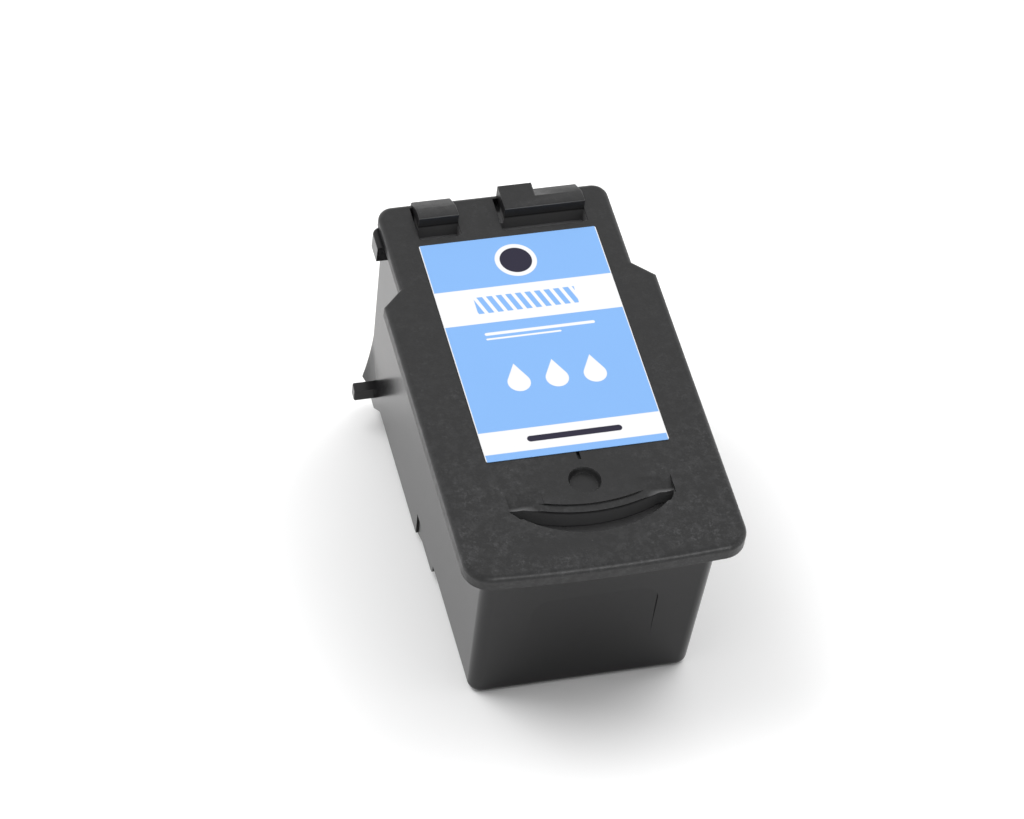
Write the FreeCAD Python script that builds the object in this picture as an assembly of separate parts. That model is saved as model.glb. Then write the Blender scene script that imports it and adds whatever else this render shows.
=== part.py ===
import FreeCAD, Part

import math
import os

from FreeCAD import Vector

os.makedirs("parts", exist_ok=True)

# Inkjet ink cartridge with a built-in print head, in millimetres.
# X is across, Y runs from the front to the rear wall with the contacts, Z is up.
# The origin is under the middle of the lid, at the lowest point of the print head.
# The pieces are drawn about the middle of the tank, and moved there at the end.

# Lid outline. The lid sits a little to the left on the tank.
lid_shift = -0.3
lid_length = 73.0
lid_side_overhang = 3.4
lid_neck_overhang = 0.3
lid_front_bow = 0.8
lid_top = 41.2
lid_plate = 2.0
lid_band_depth = 2.5
lid_band_wall = 1.5
band_clearance = 0.3
lid_top_round = 0.9
lid_front_corner = 4.0
lid_rear_corner = 2.4
shoulder_start = 19.7
shoulder_end = 16.7

# Latch blocks on the rear of the lid, and the pockets in front of them
block_height = 1.8
block_depth = 5.0
block_flat = 2.1
block_rear_height = 0.15
block_edge = 0.25
left_block_margin = 5.3
left_block_width = 6.3
block_gap = 7.3
wide_block_margin = 4.3
tab_width = 5.4
pocket_reach = 2.7
pocket_depth = 2.6
left_slot = 0.45
wide_slot = 0.9
slot_depth = 1.3
slot_rear_gap = 1.0
pocket_wall = 0.85
pocket_corner = 0.6

# Crescent recess and dimple
recess_centre_x = 0.2
recess_margin = 5.4
recess_front = 5.8
recess_tip_front = 11.3
recess_back = 9.85
recess_tip_width = 2.2
recess_arc_back = 12.0
recess_tip_back = 12.2
recess_depth = 3.6
recess_wall = 1.2
recess_front_slope = 2.0
recess_tip_slope = 0.4
lip_width = 1.3
lip_depth = 0.25
ramp_top = 14.7
ramp_drop = 1.2
ramp_length = 1.2
ramp_fade = 4.2
ramp_overlap = 1.5
dimple_from_front = 15.5
dimple_radius = 2.5
dimple_floor_radius = 2.1
dimple_depth = 1.0

# Vent path in the lid, under the label
vent_groove = 0.5
vent_depth = 0.5
vent_hole_radius = 0.7
vent_exit_from_front = 19.7
vent_exit_run = 2.0
vent_run = 9.0
vent_pitch = 1.7
vent_passes = 7
vent_start_from_front = 27.0

# Label
label_width = 28.0
label_thickness = 0.1
label_from_front = 20.9
label_pocket_gap = 1.3
label_offset = 0.4
label_corner = 0.3

# Tank
tank_width = 36.0
tank_front_gap = 3.4
tank_rear_gap = 2.2
tank_wall = 1.8
tank_floor = 2.0
side_draft = 1.55
front_draft = 1.4
tank_front_corner = 2.0
tank_rear_corner = 0.8
tank_inner_corner = 1.0
tank_bottom_round = 1.4
rim_seam_height = 0.5
rim_seam_depth = 0.4
front_belly_z = 7.0
rear_belly_z = 3.6
rear_belly_length = 32.4
belly_ramp_length = 2.8
pad_z = 4.8
pad_length = 6.5
pad_inset = 0.3
pad_round = 1.0
panel_width = 19.4
panel_from_rim = 10.3
panel_height = 16.0
panel_corner = 3.0
panel_depth = 0.3

# Nose that carries the print head, and the feet at the rear
nose_width = 25.6
nose_length = 18.8
nose_edge = 0.6
nose_rear_round = 1.2
foot_z = 0.4
foot_length = 4.1
foot_slope = 3.5

# Guide tabs, locating lug and rear datum pads
guide_reach = 3.75
guide_from_rear = 4.3
guide_length = 1.75
guide_z = 4.2
guide_height = 2.2
guide_edge = 0.3
flare_reach = 1.6
flare_top = 18.0
flare_length = 7.0
flare_sink = 0.2
flare_rear_round = 0.5
lug_reach = 1.6
lug_length = 4.4
lug_drop = 3.0
lug_edge = 0.35
lug_rear_round = 1.4
datum_width = 2.4
datum_height = 7.0
datum_proud = 0.6
datum_z = 9.0
datum_x = 14.6

# Print head stack, from the nozzle side up
bead_proud = 0.12
flex_thickness = 0.08
bond_thickness = 0.04
bond_margin = 0.25
flex_width = 22.0
flex_front_gap = 0.7
flex_top = 26.0
flex_corner = 1.5
chip_width = 4.6
chip_length = 15.0
chip_thickness = 0.6
chip_sealant_gap = 0.25
chip_adhesive_height = 0.06
nozzle_layer = 0.05
nozzle_margin_x = 0.2
nozzle_margin_y = 0.8
window_gap = 0.35
lead_count = 15
lead_width = 0.12
lead_thickness = 0.03
lead_pitch = 0.28
lead_on_chip = 0.25
lead_on_film = 0.2
bead_length = 1.5
bead_width = 5.6
ink_slot_width = 0.6
ink_slot_length = 12.4
throat_width = 1.2

# Contact pads on the film, and the staked pins that hold it
pad_columns = 6
pad_rows = 5
contact_width = 1.9
contact_height = 2.3
contact_pitch_x = 2.9
contact_pitch_z = 3.3
contact_thickness = 0.05
contact_middle_z = 15.6
contact_corner = 0.3
pin_radius = 0.6
pin_clearance = 0.05
pin_head_radius = 1.0
pin_head_height = 0.35
pin_from_edge = 1.4
pin_top_z = 24.4
pin_low_z = 5.0

# How far cuts run past a face, and joined pieces into each other
past = 1.0

# Outlet tower, filter and ink absorber inside the tank
absorber_bottom = 10.0
absorber_clearance = 0.15
tower_width = 11.5
tower_length = 14.0
tower_corner = 2.5
filter_width = 9.6
filter_length = 12.4
filter_thickness = 0.2
filter_corner = 2.0
funnel_width = 8.0
funnel_length = 10.8
floor_rib = 1.2
floor_rib_spacing = 9.0
rib_overlap = 0.4
lid_rib = 1.2
lid_rib_depth = 4.5
lid_rib_spacing = 7.6
lid_rib_margin = 5.0
rim_rib = 1.0
rim_rib_depth = 1.6
rim_rib_clearance = 0.15

# Places that follow from the sizes above
left_block_start = lid_shift - tank_width / 2 + left_block_margin
left_block_end = left_block_start + left_block_width
wide_block_start = left_block_end + block_gap
wide_block_end = lid_shift + tank_width / 2 - wide_block_margin
recess_middle = lid_shift + recess_centre_x
recess_half_width = tank_width / 2 - recess_margin
recess_arc_end = recess_half_width - recess_tip_width
lid_width = tank_width + 2 * lid_side_overhang
lid_rear_width = tank_width + 2 * lid_neck_overhang
lid_front = (lid_front_bow - lid_length) / 2
lid_rear = lid_front + lid_length
plate_bottom = lid_top - lid_plate
rim = plate_bottom
absorber_top = plate_bottom - lid_rib_depth
panel_top = rim - panel_from_rim
lug_bottom = rim - lug_drop
block_face = lid_rear - block_depth
pocket_front = block_face - pocket_reach
label_front = lid_front + label_from_front
label_rear = pocket_front - label_pocket_gap
tank_rear = lid_rear - tank_rear_gap
inner_rear = tank_rear - tank_wall
rear_belly_front = tank_rear - rear_belly_length
pad_rear = rear_belly_front - belly_ramp_length
pad_front = pad_rear - pad_length
foot_front = tank_rear - foot_length
nose_front = tank_rear - nose_length
nose_middle = tank_rear - nose_length / 2
flex_face = bead_proud
flex_back = flex_face + flex_thickness
nose_z = flex_back + bond_thickness
film_rear = tank_rear + bond_thickness + flex_thickness
pin_x = flex_width / 2 - pin_from_edge
chip_back = flex_face + chip_thickness
pocket_roof = chip_back + chip_adhesive_height


def from_front(distance):
    return lid_front + distance


def block(x_low, x_high, y_low, y_high, z_low, z_high):
    size = (x_high - x_low, y_high - y_low, z_high - z_low)
    return Part.makeBox(*size, Vector(x_low, y_low, z_low))


def prism(corners, along):
    face = Part.Face(Part.makePolygon(corners + corners[:1]))
    return face.extrude(along)


def join(first, others):
    return first.fuse(others).removeSplitter() if others else first


def edges_at(shape, test):
    return [edge for edge in shape.Edges if test(edge.BoundBox, edge.CenterOfMass)]


def upright(box):
    return max(box.XLength, box.YLength) < 0.2 * box.ZLength


def mirrored(shape):
    return shape.mirror(Vector(0, 0, 0), Vector(1, 0, 0))


def rounded_plate(width, length, radius, thickness, centre_x, centre_y, z):
    half_x = width / 2
    half_y = length / 2
    plate = block(
        centre_x - half_x, centre_x + half_x, centre_y - half_y, centre_y + half_y, z, z + thickness
    )
    corners = [edge for edge in plate.Edges if edge.BoundBox.ZLength > 0.9 * thickness]
    return plate.makeFillet(radius, corners)


# Lid


def lid_wire(z):
    half_front = lid_width / 2
    half_rear = lid_rear_width / 2
    front_left = Vector(lid_shift - half_front, lid_front, z)
    front_right = Vector(lid_shift + half_front, lid_front, z)
    bow = Part.Arc(front_left, Vector(lid_shift, lid_front - lid_front_bow, z), front_right).toShape()
    shoulder_y = lid_rear - shoulder_start
    neck_y = lid_rear - shoulder_end
    path = Part.makePolygon(
        [
            front_right,
            Vector(lid_shift + half_front, shoulder_y, z),
            Vector(lid_shift + half_rear, neck_y, z),
            Vector(lid_shift + half_rear, lid_rear, z),
            Vector(lid_shift - half_rear, lid_rear, z),
            Vector(lid_shift - half_rear, neck_y, z),
            Vector(lid_shift - half_front, shoulder_y, z),
            front_left,
        ]
    )
    return Part.Wire([bow] + path.Edges)


def lid_slab(z_low, z_high):
    slab = Part.Face(lid_wire(z_low)).extrude(Vector(0, 0, z_high - z_low))
    front = edges_at(slab, lambda box, c: upright(box) and c.y < lid_front + 1)
    slab = slab.makeFillet(lid_front_corner, front)
    rear = edges_at(slab, lambda box, c: upright(box) and c.y > lid_rear - 1)
    return slab.makeFillet(lid_rear_corner, rear)


def lid_band():
    """The band that hangs from the edge of the plate, clear of the tank all round."""
    bottom = lid_top - lid_band_depth
    outer = lid_slab(bottom, plate_bottom)
    ring = [face for face in outer.Faces if abs(face.BoundBox.ZMax - bottom) < 0.01][0]
    inner = Part.Face(ring.OuterWire.makeOffset2D(-lid_band_wall))
    band = outer.cut(inner.extrude(Vector(0, 0, plate_bottom - bottom)))
    half = tank_width / 2 + band_clearance
    y_low = from_front(tank_front_gap) - band_clearance
    y_high = tank_rear + band_clearance
    around_tank = block(-half, half, y_low, y_high, bottom, rim)
    half = lid_rear_width / 2
    neck_y = lid_rear - shoulder_end
    beside_neck = block(lid_shift - half, lid_shift + half, neck_y, lid_rear, bottom, rim)
    return band.cut([around_tank, beside_neck])


def latch_block(x_low, x_high, tab_end=None):
    """A block whose top is flat, then falls to the rear edge, apart from a tab that stays flat."""
    top = lid_top + block_height
    flat_end = block_face + block_flat
    ramp = [
        Vector(x_low, block_face, plate_bottom),
        Vector(x_low, block_face, top),
        Vector(x_low, flat_end, top),
        Vector(x_low, lid_rear, lid_top + block_rear_height),
        Vector(x_low, lid_rear, plate_bottom),
    ]
    body = prism(ramp, Vector(x_high - x_low, 0, 0))
    if tab_end is not None:
        tab = block(x_low, tab_end, block_face, lid_rear, plate_bottom, top)
        body = body.fuse(tab).removeSplitter()
    sides = (x_low, x_high, tab_end)

    def on_crest(box, c):
        at_top = box.ZMin > top - 0.01 and abs(c.y - flat_end) > 0.01
        beside_ramp = c.z > lid_top + block_rear_height + 0.2 and c.x in sides and c.x != tab_end
        return at_top or beside_ramp

    return body.makeFillet(block_edge, edges_at(body, on_crest))


def pocket(x_low, x_high, grow=0.0):
    """The pocket in front of a latch block. Grown by a wall, it is the box moulded round it."""
    y_low = pocket_front - grow
    z_low = lid_top - pocket_depth - grow
    shape = block(x_low - grow, x_high + grow, y_low, block_face + grow, z_low, lid_top)
    corners = edges_at(shape, lambda box, c: upright(box) and c.y < y_low + 0.1)
    return shape.makeFillet(pocket_corner, corners)


def side_slot(x_high, width):
    """The narrow slot along the left side of a latch block."""
    y_low = block_face - pocket_reach / 2
    return block(x_high - width, x_high, y_low, lid_rear - slot_rear_gap, lid_top - slot_depth, lid_top)


def recess_wire(z, grow=0.0, slope=0.0):
    """Plan of the crescent: two arcs, joined at blunt tips. The front arc moves back with the slope."""
    half = recess_half_width + grow
    front_y = from_front(recess_tip_front) + slope * recess_tip_slope
    back_y = from_front(recess_tip_back) + grow
    arc_y = from_front(recess_arc_back) + grow
    front_left = Vector(recess_middle - half, front_y, z)
    front_right = Vector(recess_middle + half, front_y, z)
    front_middle = Vector(recess_middle, from_front(recess_front) - grow + slope * recess_front_slope, z)
    back_left = Vector(recess_middle - half, back_y, z)
    back_right = Vector(recess_middle + half, back_y, z)
    arc_left = Vector(recess_middle - recess_arc_end, arc_y, z)
    arc_right = Vector(recess_middle + recess_arc_end, arc_y, z)
    back_middle = Vector(recess_middle, from_front(recess_back) + grow, z)
    front = Part.Arc(front_left, front_middle, front_right).toShape()
    back = Part.Arc(arc_right, back_middle, arc_left).toShape()
    right_tip = Part.makePolygon([front_right, back_right, arc_right]).Edges
    left_tip = Part.makePolygon([arc_left, back_left, front_left]).Edges
    return Part.Wire([front] + right_tip + [back] + left_tip)


def recess_cut():
    """The crescent with its sloping front wall, and the shallow lip behind it."""
    floor = recess_wire(lid_top - recess_depth, 0, 1)
    deep = Part.makeLoft([floor, recess_wire(lid_top)], True, True)
    lip = Part.Face(recess_wire(lid_top - lip_depth)).extrude(Vector(0, 0, lip_depth))
    lip.translate(Vector(0, lip_width, 0))
    return deep.fuse(lip)


def recess_tub():
    """The wall moulded round the crescent under the plate, kept inside the tank's wall."""
    floor = lid_top - recess_depth - recess_wall
    outer = Part.Face(recess_wire(floor, recess_wall)).extrude(Vector(0, 0, plate_bottom - floor))
    return outer.common(rounded_cavity(tank_wall + rim_rib_clearance, floor, plate_bottom))


def ramp_section(x, forward, share=1.0):
    """A wedge that rises from the crescent to the lid's top. Its front may lie inside the crescent."""
    front = from_front(recess_tip_front) - forward
    back = from_front(ramp_top)
    drop = share * ramp_drop * (back - front) / (ramp_top - recess_tip_front)
    low = Vector(x, front, lid_top - drop)
    above = lid_top + past
    return Part.makePolygon(
        [low, Vector(x, front, above), Vector(x, back, above), Vector(x, back, lid_top), low]
    )


def tip_ramp():
    """The sloping facet behind the crescent's left tip, which fades out towards the middle."""
    outer = recess_middle - recess_half_width
    middle = outer + ramp_length
    end = middle + ramp_fade
    low_share = lip_depth / 2 / ramp_drop
    sections = [
        ramp_section(outer, 0),
        ramp_section(middle, ramp_overlap),
        ramp_section(end, ramp_overlap, low_share),
    ]
    return Part.makeLoft(sections, True, True)


def dimple():
    centre = Vector(lid_shift, from_front(dimple_from_front), lid_top - dimple_depth)
    rise = dimple_depth + past
    spread = (dimple_radius - dimple_floor_radius) * rise / dimple_depth
    return Part.makeCone(dimple_floor_radius, dimple_floor_radius + spread, rise, centre)


def vent_path():
    """A hole through the plate and the long thin groove that leads from it to the open air."""
    half = vent_groove / 2
    side_x = vent_run / 2
    exit_y = from_front(vent_exit_from_front)
    turn_y = exit_y + vent_exit_run
    route = [(half, exit_y), (half, turn_y), (-side_x, turn_y)]
    side = -1
    for index in range(vent_passes):
        y = from_front(vent_start_from_front) + index * vent_pitch
        route.append((side * side_x, y))
        side = -side
        route.append((side * side_x, y))
    runs = []
    for (x1, y1), (x2, y2) in zip(route, route[1:]):
        runs.append(
            block(
                min(x1, x2) - half, max(x1, x2) + half, min(y1, y2) - half, max(y1, y2) + half,
                lid_top - vent_depth, lid_top + past,
            )
        )
    foot = Vector(*route[-1], plate_bottom - past)
    hole = Part.makeCylinder(vent_hole_radius, lid_plate + 2 * past, foot)
    path = join(runs[0], runs[1:] + [hole])
    path.translate(Vector(lid_shift, 0, 0))
    return path


def rim_rib_ring():
    """The locating rib under the lid, just inside the tank's wall."""
    inset = tank_wall + rim_rib_clearance
    z_low = plate_bottom - rim_rib_depth
    outer = rounded_cavity(inset, z_low, plate_bottom)
    inner = rounded_cavity(inset + rim_rib, z_low, plate_bottom)
    return outer.cut(inner)


def lid_ribs():
    """Ribs that hold the absorber down and leave an air space above it."""
    ribs = []
    y_low = from_front(tank_front_gap) + tank_wall + lid_rib_margin
    y_high = inner_rear - lid_rib_margin
    for step in (-2, -1, 0, 1, 2):
        x = step * lid_rib_spacing
        ribs.append(block(x - lid_rib / 2, x + lid_rib / 2, y_low, y_high, absorber_top, plate_bottom))
    return ribs


def make_lid():
    shape = lid_slab(plate_bottom, lid_top)
    rim_edges = edges_at(shape, lambda box, c: box.ZMin > lid_top - 0.01)
    shape = shape.makeFillet(lid_top_round, rim_edges)
    wide_end = wide_block_start + tab_width
    added = [
        lid_band(),
        rim_rib_ring(),
        recess_tub(),
        pocket(left_block_start - left_slot, left_block_end, pocket_wall),
        pocket(wide_block_start - wide_slot, wide_block_end, pocket_wall),
        latch_block(left_block_start, left_block_end),
        latch_block(wide_block_start, wide_block_end, wide_end),
    ]
    shape = join(shape, added + lid_ribs())
    removed = [
        pocket(left_block_start - left_slot, left_block_end),
        pocket(wide_block_start - wide_slot, wide_block_end),
        side_slot(left_block_start, left_slot),
        side_slot(wide_block_start, wide_slot),
        recess_cut(),
        tip_ramp(),
        tip_ramp().mirror(Vector(recess_middle, 0, 0), Vector(1, 0, 0)),
        dimple(),
        vent_path(),
    ]
    return shape.cut(removed).removeSplitter()


# Tank


def half_width(z, inset=0.0):
    return tank_width / 2 - (rim - z) * math.tan(math.radians(side_draft)) - inset


def front_face(z, inset=0.0):
    return from_front(tank_front_gap) + (rim - z) * math.tan(math.radians(front_draft)) + inset


def drafted(profile, inset, y_low, y_high):
    """A side profile in Y and Z, given the tank's tapering width."""
    heights = [corner.z for corner in profile]
    z_low = min(heights)
    z_high = max(heights)
    side = prism(profile, Vector(2 * tank_width, 0, 0))
    side.translate(Vector(-tank_width, 0, 0))
    width_low = half_width(z_low, inset)
    width_high = half_width(z_high, inset)
    section = [
        Vector(-width_low, y_low, z_low),
        Vector(width_low, y_low, z_low),
        Vector(width_high, y_low, z_high),
        Vector(-width_high, y_low, z_high),
    ]
    return side.common(prism(section, Vector(0, y_high - y_low, 0)))


def cavity_block(inset, z_low, z_high):
    """A drafted block inside the tank, a given inset from its outer faces."""
    y_rear = tank_rear - inset
    profile = [
        Vector(0, front_face(z_low, inset), z_low),
        Vector(0, y_rear, z_low),
        Vector(0, y_rear, z_high),
        Vector(0, front_face(z_high, inset), z_high),
    ]
    return drafted(profile, inset, lid_front, lid_rear)


def rounded_cavity(inset, z_low, z_high):
    shape = cavity_block(inset, z_low, z_high)
    return shape.makeFillet(tank_inner_corner, edges_at(shape, lambda box, c: upright(box)))


def tank_shell():
    upper = cavity_block(0, front_belly_z, rim)
    corners = edges_at(upper, lambda box, c: upright(box) and c.y < 0)
    upper = upper.makeFillet(tank_front_corner, corners)
    corners = edges_at(upper, lambda box, c: upright(box) and c.y > 0)
    upper = upper.makeFillet(tank_rear_corner, corners)
    bottom = edges_at(upper, lambda box, c: box.ZMax < front_belly_z + 0.1 and c.y < tank_rear - 1)
    return upper.makeFillet(tank_bottom_round, bottom)


def lower_body():
    """The deeper rear part of the tank, from the ramp back to the rear wall."""
    overlap = front_belly_z + tank_bottom_round
    profile = [
        Vector(0, rear_belly_front, rear_belly_z),
        Vector(0, tank_rear, rear_belly_z),
        Vector(0, tank_rear, overlap),
        Vector(0, rear_belly_front, overlap),
    ]
    return drafted(profile, 0, lid_front, lid_rear)


def belly_pad():
    """The narrower pad and ramp between the front belly and the rear one."""
    overlap = front_belly_z + tank_bottom_round
    profile = [
        Vector(0, pad_front, pad_z),
        Vector(0, pad_rear, pad_z),
        Vector(0, rear_belly_front, rear_belly_z),
        Vector(0, rear_belly_front + past, rear_belly_z),
        Vector(0, rear_belly_front + past, overlap),
        Vector(0, pad_front, overlap),
    ]
    pad = drafted(profile, pad_inset, lid_front, lid_rear)
    rims = edges_at(pad, lambda box, c: abs(c.y - pad_front) < 0.1 and c.z < pad_z + 0.1)
    return pad.makeFillet(pad_round, rims)


def foot():
    """The side walls and the rear wall run on below the tank at the rear."""
    slope_front = foot_front - foot_slope
    profile = [
        Vector(0, slope_front, rear_belly_z + past),
        Vector(0, slope_front, rear_belly_z),
        Vector(0, foot_front, foot_z),
        Vector(0, tank_rear, foot_z),
        Vector(0, tank_rear, rear_belly_z + past),
    ]
    outer = drafted(profile, 0, lid_front, lid_rear)
    inner = half_width(foot_z, tank_wall)
    half = nose_width / 2
    z_low = foot_z - past
    hollow = block(-inner, inner, slope_front - past, inner_rear, z_low, rear_belly_z)
    behind_nose = block(-half, half, inner_rear - past, tank_rear + past, z_low, rear_belly_z)
    return outer.cut([hollow, behind_nose])


def nose():
    """The block under the outlet that carries the chip and the film."""
    half = nose_width / 2
    shape = block(-half, half, nose_front, tank_rear, nose_z, rear_belly_z + past)
    rear = edges_at(shape, lambda box, c: c.y > tank_rear - 0.01 and c.z < nose_z + 0.01)
    shape = shape.makeFillet(nose_rear_round, rear)
    rims = edges_at(shape, lambda box, c: box.ZMax < nose_z + 0.01 and c.y < tank_rear - 1)
    return shape.makeChamfer(nose_edge, rims)


def guide_tab():
    """Tab that runs in the guide rail of the carriage."""
    root = half_width(guide_z, tank_wall / 2)
    tip = half_width(guide_z) + guide_reach
    y_low = tank_rear - guide_from_rear - guide_length / 2
    shape = block(root, tip, y_low, y_low + guide_length, guide_z, guide_z + guide_height)
    return shape.makeFillet(guide_edge, edges_at(shape, lambda box, c: abs(c.x - tip) < 0.01))


def side_lug():
    """Locating lug on the side, right under the lid's rear corner."""
    root = half_width(lug_bottom, tank_wall / 2)
    tip = tank_width / 2 + lug_reach
    shape = block(root, tip, tank_rear - lug_length, tank_rear, lug_bottom, rim)
    rear = edges_at(shape, lambda box, c: upright(box) and c.x > tip - 0.01 and c.y > tank_rear - 0.01)
    shape = shape.makeFillet(lug_rear_round, rear)
    top = edges_at(shape, lambda box, c: box.ZMin > rim - 0.01 and abs(c.x - tip) < 0.01)
    return shape.makeFillet(lug_edge, top)


def flare_section(y, reach):
    """Outline of the flare at one place along the wall. Its curve starts a little inside the wall."""
    top = half_width(flare_top, flare_sink)
    inner = half_width(guide_z, tank_wall / 2)
    middle_z = (flare_top + guide_z) / 2
    low = Vector(half_width(guide_z, flare_sink) + reach, y, guide_z)
    middle = Vector(half_width(middle_z, flare_sink) + reach / 4, y, middle_z)
    curve = Part.Arc(Vector(top, y, flare_top), middle, low).toShape()
    corners = [low, Vector(inner, y, guide_z), Vector(inner, y, flare_top), Vector(top, y, flare_top)]
    back = Part.makePolygon(corners)
    return Part.Wire([curve] + back.Edges)


def rear_flare():
    """The wall curves out above the guide tab, more and more towards the rear corner."""
    front = flare_section(tank_rear - flare_length, -flare_sink)
    shape = Part.makeLoft([front, flare_section(tank_rear, flare_reach)], True, True)
    side = half_width(guide_z)

    def on_corner(box, c):
        return box.YMin > tank_rear - 0.01 and box.ZLength > guide_height and box.XMax > side

    return shape.makeFillet(flare_rear_round, edges_at(shape, on_corner))


def datum_pad():
    """Raised pad on the rear wall that seats against the carriage."""
    half = datum_width / 2
    y_high = tank_rear + datum_proud
    return block(datum_x - half, datum_x + half, tank_rear - past, y_high, datum_z, datum_z + datum_height)


def inside():
    """The hollow of the tank: deeper behind the ramp than at the front."""
    front_floor = front_belly_z + tank_floor
    rear_floor = rear_belly_z + tank_floor
    main = rounded_cavity(tank_wall, front_floor, rim)
    y_low = rear_belly_front + tank_wall
    top = front_floor + past
    profile = [
        Vector(0, y_low, rear_floor),
        Vector(0, inner_rear, rear_floor),
        Vector(0, inner_rear, top),
        Vector(0, y_low - (top - rear_floor), top),
    ]
    return join(main, [drafted(profile, tank_wall, lid_front, lid_rear)])


def outlet_tower():
    """The raised outlet under the filter."""
    z_low = rear_belly_z + past
    height = absorber_bottom - filter_thickness - z_low
    return rounded_plate(tower_width, tower_length, tower_corner, height, 0, nose_middle, z_low)


def floor_ribs():
    """Low ribs that hold the absorber off the floor, clear of the tower."""
    ribs = []
    y_low = front_face(absorber_bottom) + tank_wall / 2
    z_low = rear_belly_z + past
    half = floor_rib / 2
    for step in (-1, 0, 1):
        x = step * floor_rib_spacing
        y_high = inner_rear + tank_wall / 2
        if abs(x) < tower_width / 2:
            y_high = nose_middle - tower_length / 2 + rib_overlap
        ribs.append(block(x - half, x + half, y_low, y_high, z_low, absorber_bottom))
    return ribs


def ink_channel():
    """The funnel from the filter down to the slot over the chip."""
    top = absorber_bottom - filter_thickness
    wide = rectangle_wire(funnel_width, funnel_length, top)
    narrow = rectangle_wire(throat_width, ink_slot_length, pocket_roof)
    channel = Part.makeLoft([narrow, wide], True, True)
    pocket_width = chip_width + 2 * chip_sealant_gap
    pocket_length = chip_length + 2 * chip_sealant_gap
    return channel.fuse(around_middle(pocket_width, pocket_length, nose_z - past, pocket_roof))


def rectangle_wire(width, length, z):
    x = width / 2
    y = length / 2
    corners = [
        Vector(-x, nose_middle - y, z),
        Vector(x, nose_middle - y, z),
        Vector(x, nose_middle + y, z),
        Vector(-x, nose_middle + y, z),
    ]
    return Part.makePolygon(corners + corners[:1])


def pin_places():
    """Where the pins stand on the rear wall, as X and Z."""
    return [(x, z) for z in (pin_low_z, pin_top_z) for x in (-pin_x, pin_x)]


def staked_pins():
    """Pins that pass through the film and end in a flattened head."""
    pins = []
    outward = Vector(0, 1, 0)
    for x, z in pin_places():
        root = Vector(x, tank_rear - past, z)
        seat = Vector(x, film_rear, z)
        shank = Part.makeCylinder(pin_radius, film_rear - root.y, root, outward)
        head = Part.makeCone(pin_head_radius, pin_radius, pin_head_height, seat, outward)
        pins.append(shank.fuse(head))
    return pins


def front_panel():
    """The shallow sunk panel on the front face. It stands upright, so it fades out as the face draws in."""
    y_inner = front_face(panel_top) + panel_depth
    half = panel_width / 2
    y_low = y_inner - panel_depth - past
    shape = block(-half, half, y_low, y_inner, panel_top - panel_height, panel_top)
    corners = edges_at(shape, lambda box, c: box.YLength > past)
    return shape.makeFillet(panel_corner, corners)


def rim_seam(y_high):
    """The groove that shows as a dark line under the lid's narrow part."""
    neck = lid_rear - shoulder_end
    low = rim - rim_seam_height
    outer = half_width(rim) - rim_seam_depth
    return block(outer, tank_width, neck, y_high, low, rim)


def make_tank():
    solid = join(tank_shell(), [lower_body(), belly_pad(), foot(), nose()])
    outside = [guide_tab(), rear_flare(), datum_pad()]
    solid = join(solid, outside + [mirrored(item) for item in outside] + [mirrored(side_lug())])
    left_seam = mirrored(rim_seam(tank_rear - lug_length))
    solid = solid.cut([inside(), front_panel(), rim_seam(tank_rear + past), left_seam])
    within = [item.common(inside()) for item in floor_ribs()]
    solid = join(solid, within + [outlet_tower()] + staked_pins())
    return solid.cut(ink_channel()).removeSplitter()


# Pieces inside the tank


def make_absorber():
    """The fibre block, pressed in between the floor ribs and the lid's ribs."""
    inset = tank_wall + absorber_clearance
    return rounded_cavity(inset, absorber_bottom, absorber_top)


def make_filter():
    z_low = absorber_bottom - filter_thickness
    return rounded_plate(filter_width, filter_length, filter_corner, filter_thickness, 0, nose_middle, z_low)


# Print head


def around_middle(width, length, z_low, z_high):
    """A block centred over the chip."""
    x = width / 2
    y = length / 2
    return block(-x, x, nose_middle - y, nose_middle + y, z_low, z_high)


def make_chip():
    """The silicon chip with its long ink slot."""
    slot = around_middle(ink_slot_width, ink_slot_length, flex_face - past, chip_back + past)
    return around_middle(chip_width, chip_length, flex_face, chip_back).cut(slot)


def make_nozzle_plate():
    """The thin layer with the nozzles. It leaves the chip's ends bare for the leads."""
    width = chip_width - 2 * nozzle_margin_x
    length = chip_length - 2 * nozzle_margin_y
    return around_middle(width, length, flex_face - nozzle_layer, flex_face)


def make_chip_adhesive():
    """The adhesive between the chip's back and the nose, open over the ink slot."""
    opening = around_middle(throat_width, ink_slot_length, chip_back - past, pocket_roof + past)
    return around_middle(chip_width, chip_length, chip_back, pocket_roof).cut(opening)


def make_chip_sealant():
    """The filling round the chip in its pocket."""
    width = chip_width + 2 * chip_sealant_gap
    length = chip_length + 2 * chip_sealant_gap
    ring = around_middle(width, length, nose_z, pocket_roof)
    return ring.cut(around_middle(chip_width, chip_length, nose_z - past, pocket_roof + past))


def wrapped_sheet(width, y_low, z_high, outer, inner):
    """A sheet that lies on the nose, turns round its rear edge and runs up the rear wall.
    Outer and inner are how far its two faces stand off the nose and the wall."""
    half = width / 2
    skins = []
    for off, over in ((outer, 0), (inner, past)):
        skin = block(-half - over, half + over, y_low - over, tank_rear + off, nose_z - off, z_high + over)
        bend = edges_at(skin, lambda box, c: c.y > tank_rear + off - 0.01 and c.z < nose_z - off + 0.01)
        skins.append(skin.makeFillet(nose_rear_round + off, bend))
    return skins[0].cut(skins[1])


def film_openings(pin_gap):
    """The window round the chip, and holes for the pins."""
    width = chip_width + 2 * window_gap
    length = chip_length + 2 * window_gap
    openings = [around_middle(width, length, flex_face - past, nose_z + past)]
    for x, z in pin_places():
        start = Vector(x, tank_rear - past, z)
        depth = film_rear - start.y + past
        openings.append(Part.makeCylinder(pin_radius + pin_gap, depth, start, Vector(0, 1, 0)))
    return openings


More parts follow.
